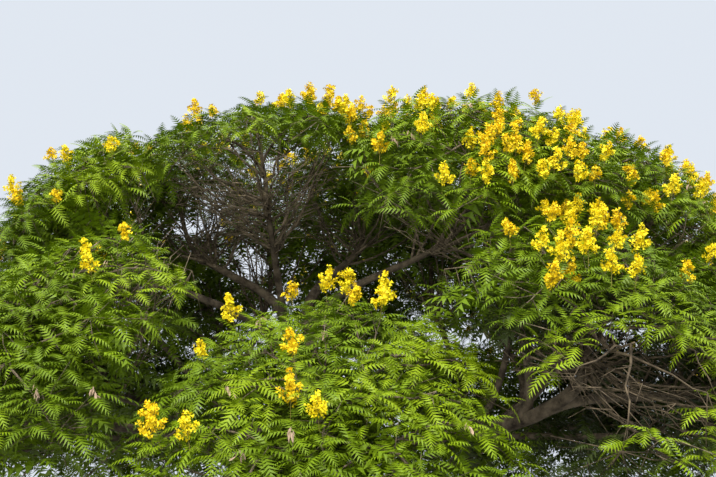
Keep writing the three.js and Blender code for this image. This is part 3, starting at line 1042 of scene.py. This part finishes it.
def grow_pad(grown, bough):
    pad = bough.pad
    random = seeded(pad.seed)
    rng = np.random.default_rng(pad.seed)
    own, carriers = [], []
    for twig in grow_twigs(pad, random, rng):
        if touches_limb(twig["start"], twig["end"], twig["radii"][0], pad):
            continue
        grown["stems" if twig["radii"] is STEM_RADII else "twigs"].append(twig["line"])
        carriers.append(dict(line=twig["line"]))
        for spray in grow_sprays(pad, twig, random):
            length = norm(spray["tip"] - spray["root"])
            if length < SPRAY_LEAST or not clear_way(pad, spray["root"], spray["tip"], TWIG_ROOM):
                continue
            line = bent_line(spray["root"], spray["tip"], pad.axis * SPRAY_ARCH, LINE_STEPS)
            spray["line"] = crooked(line, SPRAY_CROOK, LINE_KNOT, rng)
            own.append(spray)
            grow_sprigs(grown, pad, spray, rng)
    fill_pad(grown, pad, own + carriers, rng)
    grow_shoots(grown, pad, bough, rng)
    grow_ribs(grown, pad, bough, rng, "ribs", **RIBS)
    grow_ribs(grown, pad, bough, rng, "thin_ribs", **THIN_RIBS)
    grown["sprays"] += [spray["line"] for spray in own]


def twig_groups(grown, rng):
    """All twigs as groups of lines, each with its radii at both ends and its number of sides."""
    for kind, radii, sides, step in TWIGS:
        yield [line[::step] for line in grown[kind]], radii, sides
    for kind, radii, steps in FINE_TWIGS:
        ends = grown[kind]
        yield [bent_line(a, b, rng.normal(0, FINE_BEND, 3), steps) for a, b in ends], radii, FINE_SIDES


def make_twigs(grown, material, shaded_material, rng):
    """One piece of twigs, and one of those round the cave in a darker bark, as painted shade."""
    sunny, shaded = Batch(), Batch()
    for lines, radii, sides in twig_groups(grown, rng):
        # Twigs round the cave take the darker bark, as painted shade
        dark = np.array([in_cave(line[len(line) // 2]) for line in lines])
        for batch, own in ((sunny, ~dark), (shaded, dark)):
            chosen = np.array(lines)[own]
            if len(chosen):
                add_tubes(batch, chosen, [np.linspace(*radii, chosen.shape[1])] * len(chosen), sides)
    return [sunny.mesh("twigs", material, True), shaded.mesh("shaded_twigs", shaded_material, True)]


# Blossom
def flower_shape():
    """Cupped petals round the origin, each a blade that is narrow at its foot and wide outside."""
    points = []
    for k in range(PETALS):
        a = 2 * pi * k / PETALS
        way = np.array([cos(a), sin(a), 0])
        side = np.array([-sin(a), cos(a), 0])
        wave = PETAL_WAVES[k % 2]
        points += [
            way * PETAL_FOOT,
            way - side * PETAL_HALF_WIDTH + UP * (PETAL_RISE + wave),
            way + side * PETAL_HALF_WIDTH + UP * (PETAL_RISE - wave),
        ]
    return np.array(points), np.arange(len(points)).reshape(-1, 3)


def panicle_lobes(foot, axis, height, rng):
    """Starts and ends of a spike's side branches, which wind up its axis, and of its top."""
    across = unit(np.cross(axis, PANICLE_ASIDE))
    k = np.arange(PANICLE_LOBES)
    spin = np.radians(GOLDEN_ANGLE * k + rng.uniform(0, 360))
    rise = lerp(*LOBE_RISE, k / (PANICLE_LOBES - 1))[:, None] * height
    radial = spokes(across, np.cross(axis, across), spin)
    starts = foot + axis * rise
    reach = (height - rise) * LOBE_REACH + LOBE_LEAST
    ends = starts + (radial * LOBE_OUT + axis * LOBE_UP) * reach
    top = foot + axis * height * TOP_LOBE_START
    return np.concatenate([starts, [top]]), np.concatenate([ends, [foot + axis * height]])


def panicle(tuft, rng):
    """Where the flowers of one upright spike stand, which way they face, and its branches."""
    high = share_between(*PANICLE_HEIGHTS, tuft["tip"][2])
    height = rng.uniform(*lerp(np.array(LOW_PANICLE), np.array(HIGH_PANICLE), high))
    count = round(FLOWERS_PER_METRE * height)
    axis = unit(UP + tuft["outward"] * PANICLE_LEAN + rng.normal(0, PANICLE_TILT, 3))
    foot = tuft["tip"]
    starts, ends = panicle_lobes(foot, axis, height, rng)
    weights = norm(ends - starts, axis=1)
    lobe = rng.choice(PANICLE_LOBES + 1, count, p=weights / weights.sum())
    t = rng.uniform(*FLOWER_SPAN, count)[:, None]
    puff = unit(rng.normal(0, 1, (count, 3)))
    places = starts[lobe] + (ends - starts)[lobe] * t + puff * PUFF * (PUFF_FOOT - PUFF_TAPER * t)
    facing = unit(puff + axis * FLOWER_FACING_UP)
    return places, facing, [(foot, foot + axis * height)] + list(zip(starts, ends))


def make_blossom(tufts, materials, stalk_material, rng):
    """Spikes of flowers, dealt out over one piece for each yellow, and their green stalks."""
    shape = flower_shape()
    blooms = [Batch() for _ in materials]
    stalks = Batch()
    lines = []
    for tuft in tufts:
        places, facing, branches = panicle(tuft, rng)
        lines += branches
        aside = unit(np.cross(facing, rng.normal(0, 1, facing.shape)))
        turns = np.stack([aside, np.cross(facing, aside), facing], axis=-1)
        sizes = PETAL_LENGTH * rng.uniform(*PETAL_SIZES, len(places))
        blooms[rng.integers(0, len(materials))].add_copies(shape, turns, sizes, places)
    add_tubes(stalks, lines, [STALK_RADII] * len(lines), STALK_SIDES)
    pieces = [b.mesh(f"blossom_{i + 1}", m, False) for i, (b, m) in enumerate(zip(blooms, materials))]
    return pieces + [stalks.mesh("blossom_stalks", stalk_material, True)]


def pod_shape():
    """A flat pod a metre long, pointed at both ends and a little twisted."""
    outline = [
        (0, 0, 0), (0.3, 0.13, 0.03), (0.3, -0.13, -0.03),
        (0.75, 0.12, -0.04), (0.75, -0.12, 0.04), (1, 0, 0),
    ]
    thick = [(0.5, 0, 0.07), (0.5, 0, -0.07)]
    rim = [0, 1, 3, 5, 4, 2]
    edges = list(zip(rim, rim[1:] + rim[:1]))
    faces = [(a, b, 6) for a, b in edges] + [(b, a, 7) for a, b in edges]
    return np.array(outline + thick), np.array(faces)


def make_pods(tufts, material, rng):
    chosen = rng.choice(len(tufts), POD_TUFTS, replace=False)
    feet = np.array([tufts[i]["tip"] + tufts[i]["outward"] * POD_OUT for i in chosen])
    count = POD_TUFTS * PODS_IN_BUNCH
    feet = np.repeat(feet, PODS_IN_BUNCH, axis=0) + rng.normal(0, POD_SCATTER, (count, 3))
    ways = unit(rng.normal(0, POD_SWING, (count, 3)) - UP)
    turns = frames_from(ways, unit(rng.normal(0, 1, (count, 3))))
    batch = Batch()
    batch.add_copies(pod_shape(), turns, rng.uniform(*POD_LENGTH, count), feet)
    return batch.mesh("pods", material, False)


def bloom_share(place):
    """How much of the crown flowers at a place: most at the top and to the right."""
    right = share_between(*BLOOM_ACROSS, place[0])
    high = share_between(*BLOOM_HEIGHTS, place[2])
    lowest = lerp(*LOWEST_BLOOM, right**2)
    above = np.clip((place[2] - lowest) / BLOOM_EDGE, 0, 1)
    patch = exp(-(((place[0] - FRONT_MIDDLE) / FRONT_WIDTH) ** 2))
    front = BLOOM_FRONT * patch * (place[1] < FRONT_LIMIT)
    return above * max(front, lerp(lerp(*BLOOM_LEFT, high), lerp(*BLOOM_RIGHT, high), right))


def outer_tufts(tufts):
    """The tufts that have no others beyond them, seen from the crown's middle."""
    tips = np.array([tuft["tip"] for tuft in tufts])
    outward = unit(tips - CROWN_MIDDLE)
    outer = []
    for tuft, tip, way in zip(tufts, tips, outward):
        gaps = tips - tip
        far = gaps @ way
        beside = norm(gaps - far[:, None] * way, axis=1)
        if ((far > SHADE_START) & (beside < SHADE_WIDTH)).sum() <= SHADE_COUNT:
            outer.append((tuft, way))
    return outer


def choose_blooms(grown):
    """Tufts outside on the crown that flower, more on some sprays than on others, and the rest
    of those outside, which all have fine leaves."""
    rng = np.random.default_rng(BLOOM_SEED)
    ripeness = {}
    blooms, plain = [], []
    for tuft, way in outer_tufts(grown["tufts"]):
        tuft["outward"] = way
        tuft["coarse"] = False
        ripe = ripeness.setdefault(id(tuft["spray"]), rng.random())
        share = bloom_share(tuft["tip"]) * (BLOOM_LEAST + BLOOM_MOST * ripe**3)
        (blooms if rng.random() < share else plain).append(tuft)
    return blooms, plain


def deal_tints(grown, count, rng):
    """Each spray has one tint of green, paler high up as painted light, and deeper for the tufts that hang
    under it as painted shade, darkest in the cave.
    """
    tints = {}
    for i, tuft in enumerate(grown["tufts"]):
        tint = tints.setdefault(id(tuft["spray"]), rng.choice(count, p=TINT_SHARES))
        # Painted light: tufts high up take a paler green
        if tuft["tip"][2] > PAINTED_LIGHT_HEIGHT:
            tint = min(count - 1, tint + 1)
        # Painted shade: low tufts take a deeper green, and those in the cave the darkest
        if tuft["low"]:
            tint = 0 if in_cave(tuft["tip"]) else max(1 + i % 2, tint - LOW_PAINTED_SHADE_STEPS)
        tuft["tint"] = tint


# Materials
def linear(red, green, blue):
    """A screen colour, of 0 to 255, as a linear one."""
    def one(c):
        c /= 255
        return c / 12.92 if c <= 0.04045 else ((c + 0.055) / 1.055) ** 2.4
    return (one(red), one(green), one(blue), 1)


def set_inputs(node, values):
    for name, value in values.items():
        node.inputs[name].default_value = value


def plain_material(name, colour, roughness, gloss):
    material = bpy.data.materials.new(name)
    material.use_nodes = True
    shader = material.node_tree.nodes["Principled BSDF"]
    set_inputs(shader, {"Base Color": linear(*colour), "Roughness": roughness, "Specular IOR Level": gloss})
    return material


def plain_materials(name, colours, finish):
    return [plain_material(f"{name}_{i + 1}", colour, *finish) for i, colour in enumerate(colours)]


def bark_material(name, dark, light, scale):
    """Bark with darker cracks and paler patches, and fine bumps."""
    material = plain_material(name, dark, *BARK_FINISH)
    nodes, links = material.node_tree.nodes, material.node_tree.links
    shader = nodes["Principled BSDF"]
    place = nodes.new("ShaderNodeTexCoord")
    patches = nodes.new("ShaderNodeTexNoise")
    set_inputs(patches, {"Scale": scale, "Detail": PATCH_DETAIL, "Roughness": PATCH_ROUGHNESS})
    ramp = nodes.new("ShaderNodeValToRGB")
    for stop, position, colour in zip(ramp.color_ramp.elements, PATCH_RAMP, (dark, light)):
        stop.position = position
        stop.color = linear(*colour)
    grain = nodes.new("ShaderNodeTexNoise")
    set_inputs(grain, {"Scale": scale * GRAIN_FINENESS})
    bump = nodes.new("ShaderNodeBump")
    set_inputs(bump, {"Strength": BUMP_STRENGTH, "Distance": BUMP_HEIGHT})
    links.new(place.outputs["Object"], patches.inputs["Vector"])
    links.new(place.outputs["Object"], grain.inputs["Vector"])
    links.new(patches.outputs["Fac"], ramp.inputs["Fac"])
    links.new(ramp.outputs["Color"], shader.inputs["Base Color"])
    links.new(grain.outputs["Fac"], bump.inputs["Height"])
    links.new(bump.outputs["Normal"], shader.inputs["Normal"])
    return material


# Camera, light and floor
def make_camera():
    camera = add_object("camera", bpy.data.cameras.new("camera"))
    camera.location = CAMERA_PLACE
    camera.rotation_euler = (radians(CAMERA_TILT), 0, 0)
    camera.data.lens = CAMERA_LENS
    camera.data.sensor_width = CAMERA_SENSOR
    camera.data.clip_end = CAMERA_RANGE
    bpy.context.scene.camera = camera


def add_sun(name, place, energy, angle, colour):
    sun = add_object(name, bpy.data.lights.new(name, "SUN"))
    sun.data.energy = energy
    sun.data.angle = radians(angle)
    sun.data.color = colour
    sun.rotation_euler = Vector(place).to_track_quat("Z", "Y").to_euler()


def make_light():
    for row in SUNS:
        add_sun(*row)
    world = bpy.data.worlds.new("world")
    world.use_nodes = True
    set_inputs(world.node_tree.nodes["Background"], {"Color": SKY_COLOUR, "Strength": SKY_STRENGTH})
    bpy.context.scene.world = world
    bpy.context.scene.view_settings.view_transform = "Standard"


def make_floor():
    mesh = bpy.data.meshes.new("floor")
    corners = [(x * FLOOR_HALF, y * FLOOR_HALF, 0) for x, y in ((-1, -1), (1, -1), (1, 1), (-1, 1))]
    mesh.from_pydata(corners, [], [(0, 1, 2, 3)])
    mesh.materials.append(plain_material("floor", FLOOR_COLOUR, *FLOOR_FINISH))
    add_object("floor", mesh)


# The tree
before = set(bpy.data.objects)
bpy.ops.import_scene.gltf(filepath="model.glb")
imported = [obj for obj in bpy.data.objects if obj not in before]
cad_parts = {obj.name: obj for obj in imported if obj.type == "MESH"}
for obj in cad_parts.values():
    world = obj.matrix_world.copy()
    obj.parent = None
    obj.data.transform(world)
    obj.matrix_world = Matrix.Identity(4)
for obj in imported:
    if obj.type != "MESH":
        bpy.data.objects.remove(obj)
cad_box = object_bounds()
cad_low, cad_high = (np.array(corner) for corner in cad_box)
make_camera()
make_light()
make_floor()

rng = np.random.default_rng(SEED)
grown = {kind: [] for kind, *_ in TWIGS + FINE_TWIGS}
grown["tufts"] = []
for bough in sorted(boughs, key=lambda bough: bough.pad.seed):
    grow_pad(grown, bough)
deal_tints(grown, len(LEAF_COLOURS), rng)
bloom_tufts, plain_tufts = choose_blooms(grown)

bark, twig_bark, shaded_bark = (bark_material(*row) for row in BARKS)
stalk_green = plain_material("stalk_green", STALK_COLOUR, *STALK_FINISH)
pod_brown = plain_material("pod_brown", POD_COLOUR, *POD_FINISH)
leaf_greens = plain_materials("leaf_green", LEAF_COLOURS, LEAF_FINISH)
petals = plain_materials("petal_yellow", PETAL_COLOURS, PETAL_FINISH)

bark_pieces = make_bark(bark)
foliage_pieces = make_leaves(grown["tufts"], leaf_greens, rng)
foliage_pieces += make_twigs(grown, twig_bark, shaded_bark, rng)
foliage_pieces += make_blossom(bloom_tufts, petals, stalk_green, rng)
foliage_pieces.append(make_pods(plain_tufts, pod_brown, rng))
for piece in bark_pieces:
    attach(piece, "root")
for piece in foliage_pieces:
    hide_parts(*[f"{pad.name}_foliage" for pad in pads])
    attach(piece, "root")
